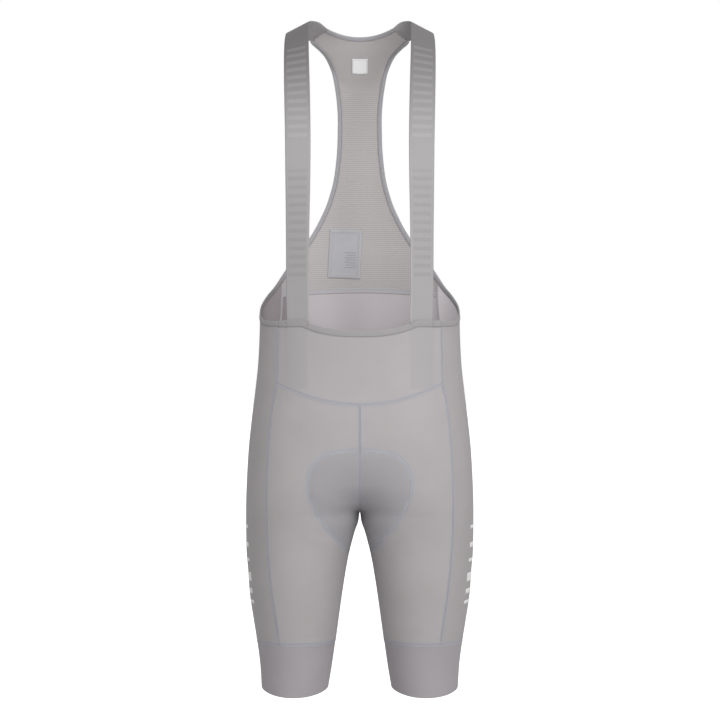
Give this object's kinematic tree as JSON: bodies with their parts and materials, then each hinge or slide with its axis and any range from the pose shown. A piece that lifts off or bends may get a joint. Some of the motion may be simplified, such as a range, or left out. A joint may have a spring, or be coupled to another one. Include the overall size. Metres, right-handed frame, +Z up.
{
  "type": "cycling bib shorts",
  "caption": "Close-fitting cycling shorts with a riding pad, leg bands, flat shoulder straps and a narrow mesh back, standing open as if worn.",
  "frame": {"origin": "midway between the two shoulders, level with the underside of the straps at their crest", "axes": "+Z up, -Y towards the garment's front, +X towards the wearer's left"},
  "size_m": [0.318, 0.2338, 0.9366],
  "materials": {
    "panel_knit": "smooth warp-knit stretch jersey, soft sheen",
    "mesh_knit": "ribbed open mesh knit, matt",
    "edge_binding": "folded elastic binding, matt",
    "strap_elastic": "flat woven elastic with tonal bars",
    "leg_band": "smooth elastic leg band",
    "riding_pad": "brushed foam-backed pad",
    "pocket_mesh": "fine mesh with bound edges",
    "label_satin": "white satin weave"
  },
  "bodies": {
    "root": {"front_yoke": "panel_knit", "front_leg_left": "panel_knit", "front_leg_right": "panel_knit", "side_panel_left": "panel_knit", "side_panel_right": "panel_knit", "seat_left": "panel_knit", "seat_right": "panel_knit", "back_mesh": "mesh_knit", "strap_left": "strap_elastic", "strap_right": "strap_elastic", "gripper_left": "leg_band", "gripper_right": "leg_band", "armhole_binding_left": "edge_binding", "armhole_binding_right": "edge_binding", "neck_binding": "edge_binding", "front_waist_binding": "edge_binding", "chamois_pad": "riding_pad", "radio_pocket": "pocket_mesh", "neck_label": "label_satin"}
  },
  "joints": []
}
